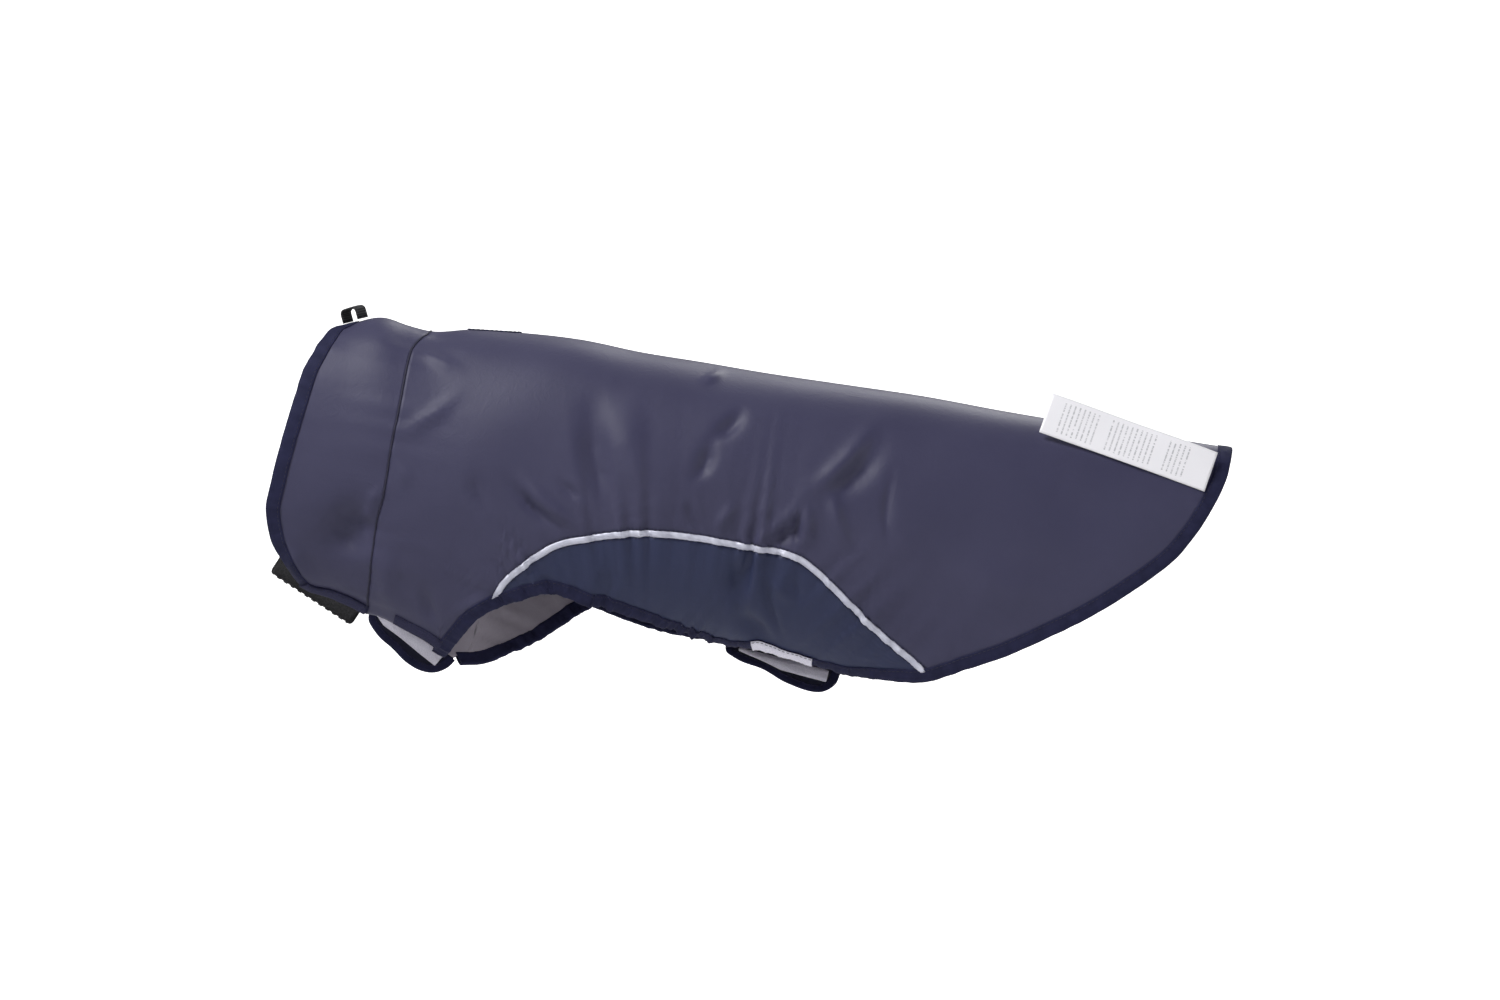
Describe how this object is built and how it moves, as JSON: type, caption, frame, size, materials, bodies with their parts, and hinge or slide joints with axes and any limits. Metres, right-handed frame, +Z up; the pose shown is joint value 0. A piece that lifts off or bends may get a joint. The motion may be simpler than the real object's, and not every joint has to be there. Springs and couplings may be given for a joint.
{
  "type": "dog rain coat",
  "caption": "Dog rain coat with a standing collar, piped belly panels, bound hem and leg openings, hook-and-loop closure tabs, a leash slit, a hang loop and a care label.",
  "frame": {"origin": "inside of the coat where the neck seam crosses the spine, over the dog's withers", "axes": "+X towards the tail, -X towards the head, +Z up, the dog's left side at -Y; the back slopes down about 8 degrees towards the tail as worn in the picture"},
  "size_m": [0.6506, 0.1391, 0.2626],
  "materials": {
    "shell": "smooth coated taffeta",
    "panel": "smooth coated taffeta",
    "lining": "matt woven lining",
    "binding": "folded bias tape",
    "tab_cloth": "doubled taffeta",
    "elastic": "knitted elastic",
    "piping": "retroreflective tape",
    "tape": "hook and loop pile",
    "hook": "navy hook and loop tape",
    "black": "woven webbing",
    "label": "satin ribbon"
  },
  "bodies": {
    "coat": {"back_shell": "shell", "collar_shell": "shell", "belly_panel_left": "panel", "belly_panel_right": "panel", "back_lining": "lining", "collar_lining": "lining", "collar_binding": "binding", "hem_binding": "binding", "leg_casing_left": "binding", "leg_casing_right": "binding", "belly_casing_left": "binding", "belly_casing_right": "binding", "leg_elastic_left": "elastic", "leg_elastic_right": "elastic", "belly_elastic_left": "elastic", "belly_elastic_right": "elastic", "reflective_piping_left": "piping", "reflective_piping_right": "piping", "leash_slit_binding": "binding", "chest_hook_tape": "hook", "belly_hook_tape": "tape", "collar_loop_tape": "hook", "hang_loop": "black"},
    "chest_tab": {"chest_tab": "tab_cloth", "chest_tab_binding": "binding", "chest_loop_tape": "tape"},
    "belly_tab": {"belly_tab": "tab_cloth", "belly_tab_binding": "binding", "belly_loop_tape": "tape"},
    "collar_tab": {"collar_tab": "black", "collar_tab_hooks": "black"},
    "care_label": {"care_label": "label"}
  },
  "joints": [
    {"name": "chest_tab_hinge", "type": "hinge", "parent": "coat", "child": "chest_tab", "pos_m": [-0.03384, 0.02702, -0.18034], "axis": [0.7867, -0.05, -0.6153], "range_deg": [-45, 48]},
    {"name": "belly_tab_hinge", "type": "hinge", "parent": "coat", "child": "belly_tab", "pos_m": [0.20281, 0.0205, -0.20978], "axis": [0.9665, 0.0032, -0.2568], "range_deg": [-40, 34]},
    {"name": "collar_tab_hinge", "type": "hinge", "parent": "coat", "child": "collar_tab", "pos_m": [-0.09349, 0.03605, -0.14135], "axis": [0.8333, -0.1264, -0.5382], "range_deg": [-70, 60]},
    {"name": "care_label_hinge", "type": "hinge", "parent": "coat", "child": "care_label", "pos_m": [0.52448, -0.03097, -0.1071], "axis": [0.3264, 0.2758, 0.9041], "range_deg": [0, 80]}
  ]
}
